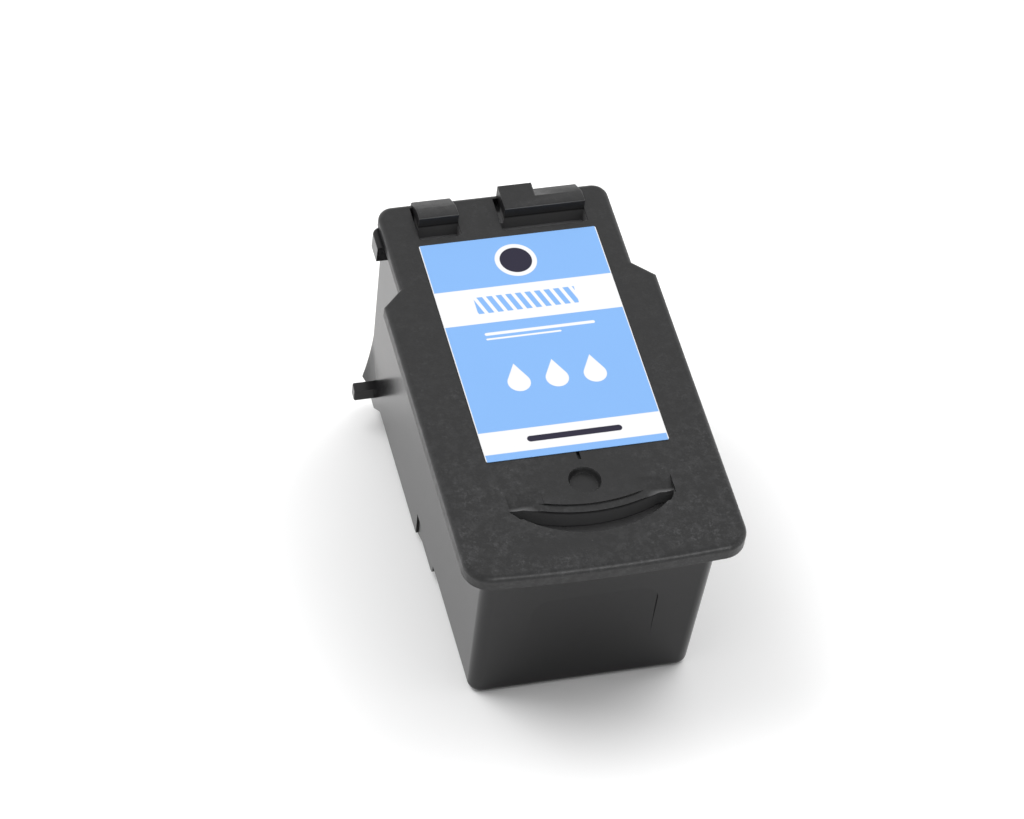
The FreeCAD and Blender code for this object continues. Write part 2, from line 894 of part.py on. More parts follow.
def make_flex():
    """The film with the wiring from the chip to the contacts."""
    off = bond_thickness + flex_thickness
    film = wrapped_sheet(flex_width, nose_front + flex_front_gap, flex_top, off, bond_thickness)
    film = film.cut(film_openings(pin_clearance))
    through = 0.5 * flex_thickness
    corners = edges_at(film, lambda box, c: c.z > flex_top - 0.01 and box.YLength > through > box.XLength)
    return film.makeFillet(flex_corner, corners)


def make_bond():
    """The sheet of adhesive that holds the film to the tank, a little smaller than the film."""
    y_low = nose_front + flex_front_gap + bond_margin
    sheet = wrapped_sheet(flex_width - 2 * bond_margin, y_low, flex_top - bond_margin, bond_thickness, 0)
    sheet = sheet.cut(film_openings(pin_clearance))
    through = 0.5 * bond_thickness
    top = flex_top - bond_margin
    corners = edges_at(sheet, lambda box, c: c.z > top - 0.01 and box.YLength > through > box.XLength)
    return sheet.makeFillet(flex_corner, corners)


def make_leads(side):
    """Flat copper leads that join the film to one end of the chip."""
    end = nose_middle + side * chip_length / 2
    y_chip = end - side * lead_on_chip
    y_film = end + side * (window_gap + lead_on_film)
    leads = []
    for index in range(lead_count):
        x = (index - (lead_count - 1) / 2) * lead_pitch
        leads.append(
            block(
                x - lead_width / 2, x + lead_width / 2, min(y_chip, y_film), max(y_chip, y_film),
                flex_face - lead_thickness, flex_face,
            )
        )
    return Part.makeCompound(leads)


def make_contacts():
    """Plated pads in rows and columns on the part of the film that faces the carriage."""
    pads = []
    y = film_rear
    for row in range(pad_rows):
        for column in range(pad_columns):
            x = (column - (pad_columns - 1) / 2) * contact_pitch_x
            z = contact_middle_z + (row - (pad_rows - 1) / 2) * contact_pitch_z
            pad = block(
                x - contact_width / 2, x + contact_width / 2, y, y + contact_thickness,
                z - contact_height / 2, z + contact_height / 2,
            )
            corners = edges_at(pad, lambda box, c: box.YLength > 0.5 * contact_thickness)
            pads.append(pad.makeChamfer(contact_corner, corners))
    return Part.makeCompound(pads)


def make_bead(side, neighbours):
    """A low dome of sealant over the leads at one end of the chip."""
    y = nose_middle + side * (chip_length / 2 + window_gap / 2)
    radius = (bead_length ** 2 / 4 + nose_z ** 2) / (2 * nose_z)
    tube = Part.makeCylinder(radius, bead_width, Vector(-bead_width / 2, y, radius), Vector(1, 0, 0))
    limit = block(-bead_width, bead_width, y - bead_length, y + bead_length, -past, nose_z)
    return tube.common(limit).cut(neighbours)


def make_label():
    """The printed film, from behind the dimple to just in front of the latch pockets."""
    length = label_rear - label_front
    middle = (label_front + label_rear) / 2
    x = lid_shift + label_offset
    return rounded_plate(label_width, length, label_corner, label_thickness, x, middle, lid_top)


tank = make_tank()
lid = make_lid()
chip = make_chip()
nozzle_plate = make_nozzle_plate()
flex = make_flex()
chip_sealant = make_chip_sealant()
leads_front = make_leads(-1)
leads_rear = make_leads(1)
bond = make_bond()
head_parts = [chip, nozzle_plate, flex, bond, chip_sealant, tank, leads_front, leads_rear]

pieces = {
    "tank": tank,
    "lid": lid,
    "label": make_label(),
    "ink_absorber": make_absorber(),
    "outlet_filter": make_filter(),
    "printhead_chip": chip,
    "nozzle_plate": nozzle_plate,
    "chip_adhesive": make_chip_adhesive(),
    "chip_sealant": chip_sealant,
    "flex_circuit": flex,
    "bond_film": bond,
    "chip_leads_front": leads_front,
    "chip_leads_rear": leads_rear,
    "contact_pads": make_contacts(),
    "sealant_bead_front": make_bead(-1, head_parts),
    "sealant_bead_rear": make_bead(1, head_parts),
}

for name, shape in pieces.items():
    shape.translate(Vector(-lid_shift, 0, 0))
    print(name, len(shape.Solids), round(shape.Volume, 2), shape.isValid())
    shape.exportStep("parts/" + name + ".step")
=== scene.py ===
# %% [markdown]
# A desktop inkjet cartridge
#
# The object is a small black plastic box that holds ink, with the print head built into its
# underside. A flat lid is welded on top. It carries a printed label, two latch blocks at the
# rear and a crescent for the fingertip at the front.
#
# The construction model already has every piece at its real size and place, so this lesson is
# about finish: soft moulded edges, grained plastic, a printed film, and the amber film with
# gold contacts on the rear wall. First that model is loaded. Everything is in metres, so a
# length in millimetres is written as a number times `MM`.

import math
from contextlib import contextmanager

import bpy
from mathutils import Matrix, Vector


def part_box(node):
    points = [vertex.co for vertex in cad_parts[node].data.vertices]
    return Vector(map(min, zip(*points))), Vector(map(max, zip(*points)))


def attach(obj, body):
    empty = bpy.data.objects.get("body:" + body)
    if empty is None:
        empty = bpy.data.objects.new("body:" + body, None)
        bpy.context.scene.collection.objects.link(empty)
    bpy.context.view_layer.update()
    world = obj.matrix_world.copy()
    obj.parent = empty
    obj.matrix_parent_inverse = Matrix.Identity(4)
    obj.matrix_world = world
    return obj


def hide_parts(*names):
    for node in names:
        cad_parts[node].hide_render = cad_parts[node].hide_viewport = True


MM = 0.001

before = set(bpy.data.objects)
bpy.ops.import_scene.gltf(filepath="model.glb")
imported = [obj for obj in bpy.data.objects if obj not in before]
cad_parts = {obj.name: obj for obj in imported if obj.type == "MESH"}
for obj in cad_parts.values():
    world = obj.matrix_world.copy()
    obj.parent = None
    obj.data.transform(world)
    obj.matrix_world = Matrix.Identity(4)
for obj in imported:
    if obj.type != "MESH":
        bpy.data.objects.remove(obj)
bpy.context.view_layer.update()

# %% [markdown]
# Helpers for meshes
#
# Blender's operators act on whatever is selected, and the loaded model arrives selected. So
# `only` selects one piece alone, and `editing` opens it for a block of lines and closes it
# again. `use` adds a modifier and applies it at once. A live modifier would look the same,
# but an applied one leaves a plain mesh that can be measured.

# %% Selecting, editing and modifiers
def only(piece):
    """Selects this piece alone and makes it the active one."""
    bpy.ops.object.select_all(action="DESELECT")
    piece.select_set(True)
    bpy.context.view_layer.objects.active = piece


@contextmanager
def editing(piece):
    """Edit mode on one piece, with all of it selected at the start."""
    only(piece)
    bpy.ops.object.mode_set(mode="EDIT")
    bpy.ops.mesh.select_all(action="SELECT")
    yield
    bpy.ops.object.mode_set(mode="OBJECT")


def use(piece, modifier, **settings):
    """Adds a modifier with these settings and applies it."""
    only(piece)
    added = piece.modifiers.new(modifier.title(), modifier)
    for key, value in settings.items():
        setattr(added, key, value)
    bpy.ops.object.modifier_apply(modifier=added.name)


# %% [markdown]
# Shader sums in plain Python
#
# A material is a graph of nodes, and sums of many masks soon fill the screen. `Signal` wraps
# one output socket, so that `1 - mask` or `a * b` adds the Math node by itself, and a pattern
# reads like the formula that it is. `Graph` holds the nodes. Its `add` method takes a node's
# type, its settings, and then what goes into its sockets.

# %% Signal and Graph
class Signal:
    """One output socket that can be used in sums."""

    def __init__(self, graph, socket):
        self.graph = graph
        self.socket = socket

    def math(self, operation, *others):
        return self.graph.add("ShaderNodeMath", {"operation": operation}, self, *others)

    def reflected(self, operation, other):
        return self.graph.add("ShaderNodeMath", {"operation": operation}, other, self)

    def __add__(self, other):
        return self.math("ADD", other)

    def __radd__(self, other):
        return self.reflected("ADD", other)

    def __sub__(self, other):
        return self.math("SUBTRACT", other)

    def __rsub__(self, other):
        return self.reflected("SUBTRACT", other)

    def __mul__(self, other):
        return self.math("MULTIPLY", other)

    def __rmul__(self, other):
        return self.reflected("MULTIPLY", other)

    def __truediv__(self, other):
        return self.math("DIVIDE", other)

    def __pow__(self, other):
        return self.math("POWER", other)

    def __abs__(self):
        return self.math("ABSOLUTE")

    def most(self, other):
        """The larger of two values, which joins two masks."""
        return self.math("MAXIMUM", other)

    def folded(self, half_pitch):
        """Rises to half a pitch and falls again, over and over, for what repeats."""
        return self.math("PINGPONG", half_pitch)

    def ramp(self, start, end):
        """0 below start, 1 above end, and a straight rise between them."""
        return self.graph.add("ShaderNodeMapRange", {"clamp": True}, self, start, end, 0.0, 1.0)

    def within(self, limit, fade):
        """1 up to a limit, and down to 0 over a short fade beyond it."""
        return 1 - self.ramp(limit, limit + fade)


class Graph:
    """A node tree under construction."""

    def __init__(self, tree):
        self.tree = tree

    def add(self, kind, settings, *inputs, out=0):
        """Adds a node: settings first, then the sockets in order. None leaves a socket alone."""
        node = self.tree.nodes.new(kind)
        for key, value in settings.items():
            setattr(node, key, value)
        for socket, value in zip(node.inputs, inputs):
            self.feed(socket, value)
        return Signal(self, node.outputs[out])

    def feed(self, socket, value):
        """Links a signal to a socket, or sets the socket to a plain value."""
        if isinstance(value, Signal):
            self.tree.links.new(value.socket, socket)
        elif value is not None:
            socket.default_value = value


def length(over, up):
    """How far a point lies from another, from its distances along two axes."""
    return (over * over + up * up) ** 0.5


# %% [markdown]
# Materials measured in millimetres
#
# `Finish` is one material round one Principled shader. Its positions come from the Object
# coordinates, turned into millimetres, so a grain of 0.2 is a grain of 0.2 mm on the real
# thing. Generated coordinates would be easier, but they stretch with the size of the piece.
# A Mix node has sockets for every kind of data under the same names, so the ones for colours
# are found by their numbers.

# %% Finish
MIX_MASK, MIX_FIRST, MIX_SECOND, MIX_RESULT = 0, 6, 7, 2


class Finish(Graph):
    """A material under construction, around one Principled shader."""

    def __init__(self, name, color, roughness, **fixed):
        self.material = bpy.data.materials.new(name)
        self.material.use_nodes = True
        super().__init__(self.material.node_tree)
        self.shader = self.tree.nodes["Principled BSDF"]
        self.shader.inputs["Base Color"].default_value = (*color, 1)
        self.shader.inputs["Roughness"].default_value = roughness
        for key, value in fixed.items():
            self.shader.inputs[key.replace("_", " ")].default_value = value
        place = self.add("ShaderNodeTexCoord", {}, out="Object")
        self.place = self.add("ShaderNodeVectorMath", {"operation": "SCALE"}, place, None, None, 1 / MM)

    def axis(self, letter, vector=None):
        """One part of the place in millimetres, or of another vector."""
        return self.add("ShaderNodeSeparateXYZ", {}, vector or self.place, out=letter)

    def moved(self, offset):
        """The place moved along all three axes, so that no two noises fall together."""
        return self.add("ShaderNodeVectorMath", {"operation": "ADD"}, self.place, (offset,) * 3)

    def noise(self, size, detail=2.0, roughness=0.5, offset=0.0):
        """Cloudy noise around 0.5 whose patches are about `size` millimetres."""
        return self.add("ShaderNodeTexNoise", {}, self.moved(offset), None, 1 / size, detail, roughness)

    def points(self, spacing, offset):
        """Distance to the nearest of scattered points, in spacings, and that point's own random value."""
        near = self.add("ShaderNodeTexVoronoi", {}, self.moved(offset), None, 1 / spacing)
        color = Signal(self, near.socket.node.outputs["Color"])
        return near, self.axis("X", color)

    def mix(self, mask, first, second):
        """A colour that goes from the first to the second as the mask goes from 0 to 1."""
        node = self.tree.nodes.new("ShaderNodeMix")
        node.data_type = "RGBA"
        self.feed(node.inputs[MIX_MASK], mask)
        for index, value in ((MIX_FIRST, first), (MIX_SECOND, second)):
            self.feed(node.inputs[index], value if isinstance(value, Signal) else (*value, 1))
        return Signal(self, node.outputs[MIX_RESULT])

    def multiplied(self, first, second):
        """One colour times another, channel by channel."""
        return self.add("ShaderNodeVectorMath", {"operation": "MULTIPLY"}, first, second)

    def color(self, value):
        self.feed(self.shader.inputs["Base Color"], value)

    def roughness(self, value):
        self.feed(self.shader.inputs["Roughness"], value)

    def bump(self, height, depth):
        """Relief whose height signal of 1 stands `depth` millimetres high."""
        node = self.tree.nodes.new("ShaderNodeBump")
        node.inputs["Distance"].default_value = depth * MM
        self.feed(node.inputs["Height"], height)
        self.tree.links.new(node.outputs["Normal"], self.shader.inputs["Normal"])


def dress(piece, finish):
    """Gives a piece one material."""
    piece.data.materials.clear()
    piece.data.materials.append(finish.material)
    print(piece.name, "is finished in", finish.material.name)


# %% [markdown]
# Black moulded plastic
#
# Lid and tank are mouldings. The moulds of such parts are spark eroded, which leaves a fine
# even grain, so the plastic looks dark grey and satin rather than black and glossy. In use it
# gathers pale rubs and dust. A painted picture has to be stretched over every side, while
# noise covers a solid from all sides, so it is noise: a fine grain and a coarser ripple in
# the relief, slow patches in the shade, and for the wear clustered flecks, a thin haze and a
# few single specks.

# %% Black plastic
GRAIN_SIZE = 0.16
RIPPLE_SIZE = 0.9
PATCH_SIZE = 11.0
FLECK_SIZE = 0.6
CLUSTER_SIZE = 3.2
HAZE_SIZE = 1.3
SPECK_SPACING = 1.7
SPECK_RADIUS = 0.03
RUBBED = (0.085, 0.085, 0.088)
PALE_WEAR_AND_PAINTED_LIGHT = (0.13, 0.13, 0.132)


def black_plastic(name, color, roughness, relief, wear, specks, specular, rubs=None, pale=None):
    """Grained black plastic. `rubs` makes a mask of where wear shows, and `pale` one of where the colour
    turns grey, for painted light and for wear.
    """
    finish = Finish(name, color, roughness, Specular_IOR_Level=specular)
    fine = finish.noise(GRAIN_SIZE, 2.0, 0.55)
    coarse = finish.noise(RIPPLE_SIZE, 4.0, 0.72, offset=7.0)
    patches = finish.noise(PATCH_SIZE, 3.0, 0.6, offset=31.0)
    flecks = finish.noise(FLECK_SIZE, 4.0, 0.72, offset=3.0).ramp(0.50, 0.74)
    clusters = finish.noise(CLUSTER_SIZE, 3.0, 0.65, offset=53.0).ramp(0.40, 0.64)
    haze = finish.noise(HAZE_SIZE, 4.0, 0.7, offset=19.0).ramp(0.44, 0.78)
    worn = (flecks * clusters + 0.45 * haze) * wear
    if rubs:
        worn = worn * rubs(finish)
    near, pick = finish.points(SPECK_SPACING, 5.0)
    dust = near.within(SPECK_RADIUS, 1.5 * SPECK_RADIUS) * pick.ramp(0.86, 0.88) * specks
    shade = 0.80 + 0.30 * patches + 0.55 * (coarse - 0.5) + 0.35 * (fine - 0.5)
    surface = finish.mix(worn.most(dust), finish.mix(shade, (0, 0, 0), color), RUBBED)
    if pale:
        # The pale mask turns the colour grey: painted light in the lid's hollows, and wear with a painted
        # highlight on its rims.
        surface = finish.mix(pale(finish), surface, PALE_WEAR_AND_PAINTED_LIGHT)
    finish.color(surface)
    unevenness = 0.16 * (patches - 0.5) + 0.20 * (coarse - 0.5) - 0.06 * haze
    finish.roughness(roughness + unevenness * (wear / 0.3))
    finish.bump(fine * 0.55 + coarse * 0.45, relief)
    return finish


# %% [markdown]
# Where the lid is worn, and where light is painted
#
# Even wear looks like a pattern. On the real lid fingers rub the front, spare the ground
# round the dimple and leave one clean streak in front of the crescent. What is deep, the
# pockets in front of the latch blocks and the crescent, is painted paler: painted light that
# lifts their shade. The rims of the crescent and the dimple are paler too, partly from wear and
# partly as a painted highlight. Each of these is a soft mask on the place, in millimetres from
# the middle of the object and from the lid's flat top. Vertex paint could do it too, but it
# would need a far finer mesh.

# %% Masks on the lid
DIMPLE_MIDDLE = (1.5, -20.5)
DIMPLE_GROUND = (9.0, 5.5)
STREAK_MIDDLE = (-7.0, -32.0)
STREAK_REACH = (6.5, 1.6)
WEAR_FADE = (-24.0, 6.0)
BLOCK_FRONT = 31.9
POCKET_FRONT = 24.0
CRESCENT_REAR = -24.0
CRESCENT_FLOOR = (3.2, 3.5)
FLAT_HALF_WIDTH = 16.2
FLAT_HALF_LENGTH = 34.0
RIMS_HALF_WIDTH = 13.5
RIMS_FRONT = -34.0
RIMS_REAR = -17.5
lid_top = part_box("label")[0].z / MM


def oval(finish, middle, reach):
    """Distance from the middle of an oval spot, which is 1 on the spot's outline."""
    over = (finish.axis("X") - middle[0]) / reach[0]
    up = (finish.axis("Y") - middle[1]) / reach[1]
    return length(over, up)


def lid_rubs(finish):
    """More wear towards the front, and little of it round the dimple and in the clean streak."""
    off_dimple = oval(finish, DIMPLE_MIDDLE, DIMPLE_GROUND).ramp(0.75, 1.25)
    off_streak = oval(finish, STREAK_MIDDLE, STREAK_REACH).ramp(0.6, 1.4)
    to_rear = finish.axis("Y").ramp(*WEAR_FADE)
    return (0.30 + 0.70 * off_dimple) * (0.25 + 0.75 * off_streak) * (1.25 - 0.85 * to_rear)


def lid_painted_light_in_hollows(finish):
    """Painted light that lifts the shade in the pockets and the crescent, and a little on the shaded
    fronts of the latch blocks.
    """
    depth = lid_top - finish.axis("Z")
    above = 0 - depth
    along = finish.axis("Y")
    pockets = depth.ramp(0.06, 0.40) * along.ramp(POCKET_FRONT, POCKET_FRONT + 1.0)
    fronts = above.ramp(0.05, 0.15) * abs(along - BLOCK_FRONT).within(0.10, 0.05)
    off_floor = 1 - 0.65 * depth.ramp(*CRESCENT_FLOOR)
    crescent = depth.ramp(0.4, 0.9) * off_floor * along.within(CRESCENT_REAR, 0.5)
    on_flat = abs(finish.axis("X")).within(FLAT_HALF_WIDTH, 0.4) * abs(along).within(FLAT_HALF_LENGTH, 0.4)
    return pockets.most(crescent).most(0.25 * fronts) * on_flat


def lid_rims_wear_and_painted_highlight(finish):
    """The rounded rims of the crescent and the dimple, paler partly from the rub of fingers and partly as
    a painted highlight.
    """
    along = finish.axis("Y")
    near_rims = along.ramp(RIMS_FRONT, RIMS_FRONT + 0.5) * along.within(RIMS_REAR, 0.5)
    return abs(finish.axis("X")).within(RIMS_HALF_WIDTH, 0.5) * near_rims


print("the lid's flat top is", round(lid_top, 2), "mm up")

# %% [markdown]
# Four finishes for two mouldings
#
# The lid has a matt grain and shows wear. The tank is smoother and darker, and hardly worn,
# because hands touch it less. Each gets a second finish for its rounded edges, where handling
# has polished the grain away. That finish is also lighter in colour, partly from wear and
# partly as a painted highlight along the edges. One finish could serve for all, but then lid and
# tank would look like one lump. So all four come from the one function, with different numbers:
# a base colour and roughness, the height of the relief, and how much wear and how many specks
# there are.

# %% Finishes of lid and tank
# The pale mask of the lid is painted light, which lifts the shade of its pockets, crescent and block
# fronts.
lid_finish = black_plastic(
    "lid plastic", (0.0088, 0.0088, 0.0092), 0.42,
    relief=0.034, wear=0.37, specks=0.4, specular=0.37, rubs=lid_rubs, pale=lid_painted_light_in_hollows,
)
# The edges are lighter than the lid, partly from wear and partly as a painted highlight.
lid_edge_finish_wear_and_painted_highlight = black_plastic(
    "lid plastic, polished edge with painted highlight", (0.030, 0.030, 0.031), 0.26,
    relief=0.008, wear=0.30, specks=0.2, specular=0.55, pale=lid_rims_wear_and_painted_highlight,
)
tank_finish = black_plastic(
    "tank plastic", (0.0050, 0.0047, 0.0054), 0.23,
    relief=0.004, wear=0.05, specks=0.1, specular=0.33,
)
# The edges are a little lighter than the tank, partly from wear and partly as a painted highlight.
tank_edge_finish_wear_and_painted_highlight = black_plastic(
    "tank plastic, polished edge with painted highlight", (0.007, 0.007, 0.008), 0.22,
    relief=0.004, wear=0.1, specks=0.1, specular=0.36,
)
for finish in (lid_finish, lid_edge_finish_wear_and_painted_highlight, tank_finish, tank_edge_finish_wear_and_painted_highlight):
    print(finish.material.name, "has", len(finish.tree.nodes), "nodes")

# %% [markdown]
# Soft edges on the mouldings
#
# A construction model has knife edges, and its mesh is loose triangles. On a real moulding
# every edge is rounded by about a tenth of a millimetre, and that thin line of light is what
# makes it look solid. A bump cannot round an outline, so each moulding is copied, its
# triangles are merged, flat areas are dissolved to single faces, and a Bevel modifier rounds
# what is sharp and gives the new faces the edge finish: glossier, and lighter partly from wear
# and partly as a painted highlight. Weighted normals then keep the large faces flat in the
# light. The copy stands for the piece, and the construction model keeps its own mesh.

# %% Rounded copies of lid and tank
MERGE_DISTANCE = 0.001 * MM
FLAT_ANGLE = math.radians(0.3)
SHARP_ANGLE = math.radians(32)
SMOOTH_ANGLE = math.radians(34)
LID_EDGE = 0.11 * MM
TANK_EDGE = 0.13 * MM


def softened(node, name, width, finish, edge_finish):
    """A merged copy of a node with rounded edges, standing in its place. The edges are slightly polished,
    and lighter partly from wear and partly as a painted highlight.
    """
    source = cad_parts[node]
    piece = source.copy()
    piece.data = source.data.copy()
    piece.name = name
    piece.data.name = name
    piece.parent = None
    for key in list(piece.keys()):
        del piece[key]
    bpy.context.scene.collection.objects.link(piece)
    with editing(piece):
        bpy.ops.mesh.customdata_custom_splitnormals_clear()
        bpy.ops.mesh.remove_doubles(threshold=MERGE_DISTANCE)
        bpy.ops.mesh.dissolve_limited(angle_limit=FLAT_ANGLE, use_dissolve_boundaries=False)
    dress(piece, finish)
    piece.data.materials.append(edge_finish.material)
    use(
        piece, "BEVEL", width=width, segments=2, limit_method="ANGLE", angle_limit=SHARP_ANGLE,
        use_clamp_overlap=True, harden_normals=False, miter_outer="MITER_ARC", material=1,
    )
    only(piece)
    bpy.ops.object.shade_smooth_by_angle(angle=SMOOTH_ANGLE)
    use(piece, "WEIGHTED_NORMAL", mode="FACE_AREA", weight=80, keep_sharp=True)
    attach(piece, "root")
    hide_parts(node)
    print(name, "has", len(piece.data.polygons), "faces")
    return piece


lid = softened("lid", "lid_moulding", LID_EDGE, lid_finish, lid_edge_finish_wear_and_painted_highlight)
tank = softened("tank", "tank_moulding", TANK_EDGE, tank_finish, tank_edge_finish_wear_and_painted_highlight)

# %% [markdown]
# The printed label
#
# The label is a plastic film that seals the vent groove in the lid. It is printed light blue,
# with white bands and a dark disc in a white ring. Print is next to flat, and separate meshes
# for it would float over the film, so each shape is a mask in the film's material. The mask is
# worked out from the distance to a line or a point, which keeps its edge crisp at any size.
# Places are in millimetres: to the right of the label's middle, and up from its front edge.

# %% Shapes of the print
SKY = (0.186, 0.371, 0.70)
PRINT_BLUR = 0.035

label_low, label_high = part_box("label")
half_label = (label_high.x - label_low.x) / 2 / MM
label_finish = Finish("printed film", SKY, 0.38, Specular_IOR_Level=0.25)
across = label_finish.axis("X") - (label_low.x + label_high.x) / 2 / MM
along = label_finish.axis("Y") - label_low.y / MM


def inside(distance):
    """1 where a distance to a shape's outline is negative, with a soft printed edge."""
    return 1 - distance.ramp(-PRINT_BLUR, PRINT_BLUR)


def band(start, end):
    """A strip right across the label, between two distances from its front edge."""
    return inside(abs(along - (start + end) / 2) - (end - start) / 2)


def bar(x, y, half_length, half_height):
    """A bar with round ends."""
    over = (abs(across - x) - (half_length - half_height)).most(0.0)
    return inside(length(over, along - y) - half_height)


def disc(x, y, radius):
    """A filled circle."""
    return inside(length(across - x, along - y) - radius)


def drop(x, y, radius, height):
    """A drop: a round foot and two straight flanks up to a point."""
    slope = math.asin(radius / (height - radius))
    shoulder = radius * math.sin(slope)
    up = along - y
    flank = abs(across - x) * math.cos(slope) + up * math.sin(slope) - radius
    above = inside(flank) * up.ramp(shoulder - PRINT_BLUR, shoulder + PRINT_BLUR)
    return disc(x, y, radius).most(above)


print("label in mm:", round(2 * half_label, 2), "by", round((label_high.y - label_low.y) / MM, 2))

# %% [markdown]
# Inks
#
# A press lays one ink over the other, and so do the mixes here: white on the light blue
# ground, then the stripes, then the dark ink. One ramp with many stops could hold all the
# colours, but the order of printing is easier to follow. The design is plain, with stripes in
# the upper band, two thin rules, three drops and a dark bar in the lower band. A faint cloud
# and fibre in the tint and the gloss stop it from looking like a screen.

# %% Printing the label
WHITE = (0.72, 0.72, 0.73)
NIGHT = (0.012, 0.010, 0.027)
BORDER = 0.12
LOWER_BAND = (1.3, 5.5)
UPPER_BAND = (26.4, 33.35)
STRIPE_BAND = (28.3, 31.6)
STRIPES_MIDDLE = -0.35
STRIPES_HALF_LENGTH = 7.9
STRIPE_PITCH = 1.5
STRIPE_LEAN = 0.35
DISC_PLACE = (0.1, 38.15)
DISC_RADIUS = 2.5
RING_RADIUS = 3.25
DROP_PLACE = (0.5, 14.3)
DROP_PITCH = 5.9
DROP_RADIUS = 1.75
DROP_HEIGHT = 5.4
UPPER_RULE = (0.35, 24.2, 8.6, 0.28)
LOWER_RULE = (-2.4, 23.2, 5.85, 0.17)
DARK_BAR = (0.35, 3.4, 7.3, 0.55)

white = band(*LOWER_BAND).most(band(*UPPER_BAND)).most(disc(*DISC_PLACE, RING_RADIUS))
white = white.most(bar(*UPPER_RULE)).most(bar(*LOWER_RULE))
white = white.most(1 - inside(abs(across) - (half_label - BORDER)))
for column in (-1, 0, 1):
    white = white.most(drop(DROP_PLACE[0] + DROP_PITCH * column, DROP_PLACE[1], DROP_RADIUS, DROP_HEIGHT))
leaning = (across + STRIPE_LEAN * along).folded(STRIPE_PITCH / 2).ramp(0.27, 0.33)
stripes = inside(abs(across - STRIPES_MIDDLE) - STRIPES_HALF_LENGTH) * band(*STRIPE_BAND) * leaning
dark = disc(*DISC_PLACE, DISC_RADIUS).most(bar(*DARK_BAR))

print_color = SKY
for mask, ink in ((white, WHITE), (stripes, SKY), (dark, NIGHT)):
    print_color = label_finish.mix(mask, print_color, ink)
fibre = label_finish.noise(0.35, 3.0, 0.6)
cloud = label_finish.noise(12.0, 2.0)
tint = label_finish.mix(0.5 * cloud + 0.5 * fibre, (0.965, 0.97, 0.98), (1.03, 1.025, 1.015))
label_finish.color(label_finish.multiplied(print_color, tint))
label_finish.roughness(0.34 + 0.16 * cloud)
label_finish.bump(fibre * 0.35 + cloud, 0.012)
dress(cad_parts["label"], label_finish)

# %% [markdown]
# Tracks in the film
#
# The film is amber polyimide. Copper tracks run inside it and show through as lighter lines:
# one leaves each contact pad sideways, turns into its own lane between two columns of pads, and
# goes down to the print head. As meshes the tracks would lie on the film and not in it, so
# they are a mask. It folds the film at its middle, repeats one bundle of lanes for each column
# of pads, and ends each lane at the height of its own pad.

# %% Mask of the tracks
PAD_PITCH_X = 2.9
PAD_PITCH_Z = 3.3
FIRST_BUNDLE = 2.4
PAD_ROWS = 5
LANE_PITCH = 0.17
LANE_START = 0.075
TRACK_HALF_WIDTH = 0.04

pads_low, pads_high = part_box("contact_pads")
film_finish = Finish("amber film", (0.30, 0.12, 0.022), 0.26, Specular_IOR_Level=0.5)
film_x = abs(film_finish.axis("X") - (pads_low.x + pads_high.x) / 2 / MM)
film_z = film_finish.axis("Z") - (pads_low.z + pads_high.z) / 2 / MM
middle_row = (PAD_ROWS - 1) / 2
beside_pad = (film_x - FIRST_BUNDLE).math("FLOORED_MODULO", PAD_PITCH_X)
lane = (beside_pad - LANE_START) / LANE_PITCH
in_bundle = beside_pad.ramp(LANE_START, LANE_START + 0.01) * lane.within(PAD_ROWS - 0.05, 0.05)
in_lane = abs(lane.math("FRACT") - 0.5).within(0.24, 0.10)
lane_top = (lane.math("FLOOR") - middle_row) * PAD_PITCH_Z
below_its_pad = (film_z - lane_top).within(0.02, 0.04)
lanes = in_bundle * in_lane * below_its_pad

row = (film_z / PAD_PITCH_Z + middle_row).math("ROUND")
off_row = abs(film_z - (row - middle_row) * PAD_PITCH_Z)
past_its_lane = beside_pad - (LANE_START + (row + 0.5) * LANE_PITCH)
on_rows = abs(film_z).within(middle_row * PAD_PITCH_Z + 0.5, 0.1)
stubs = off_row.within(TRACK_HALF_WIDTH, 0.02) * past_its_lane.within(0.0, 0.03) * on_rows
tracks = lanes.most(stubs) * film_x.ramp(FIRST_BUNDLE - 0.01, FIRST_BUNDLE)
print("box of the pads in mm:", [round(side / MM, 2) for side in pads_high - pads_low])

# %% [markdown]
# Film, gold and copper
#
# Over the tracks the film is a little lighter and stands a few thousandths of a millimetre
# proud, which shows as fine lines in its gloss. The contact pads and the bare ends of the
# tracks at the chip are metal, so their colour is the colour of the reflection. Brushed lines
# would be wrong on plating and foil, which have no grain of their own. A cloud in the
# roughness, and a slight relief on the gold, are all that they need.

# %% Film, pads and leads
film_cloud = film_finish.noise(3.0, 2.0)
film_base = film_finish.mix(film_cloud, (0.25, 0.095, 0.016), (0.34, 0.135, 0.026))
film_finish.color(film_finish.mix(tracks * 0.8, film_base, (0.62, 0.29, 0.09)))
film_finish.bump(tracks + 0.3 * film_cloud, 0.008)
dress(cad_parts["flex_circuit"], film_finish)

gold_finish = Finish("gold plate", (0.80, 0.55, 0.21), 0.3, Metallic=1.0)
gold_cloud = gold_finish.noise(0.6, 3.0)
gold_finish.roughness(0.22 + 0.2 * gold_cloud)
gold_finish.bump(gold_cloud, 0.01)
dress(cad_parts["contact_pads"], gold_finish)

copper_finish = Finish("copper foil", (0.8, 0.42, 0.25), 0.35, Metallic=1.0)
copper_finish.roughness(0.25 + 0.2 * copper_finish.noise(0.3, 2.0))
for name in ("chip_leads_front", "chip_leads_rear"):
    dress(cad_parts[name], copper_finish)

# %% [markdown]
# Sealant and glue
#
# Black epoxy holds the chip, covers its leads and fills the gap round it. It was poured and
# cured, so it is glossy, with slow swells left by its flow. The sheet that holds the film down
# is pressed, and duller. Patches of colour would be easy to add, but cured resin is even all
# through, so only the relief varies.

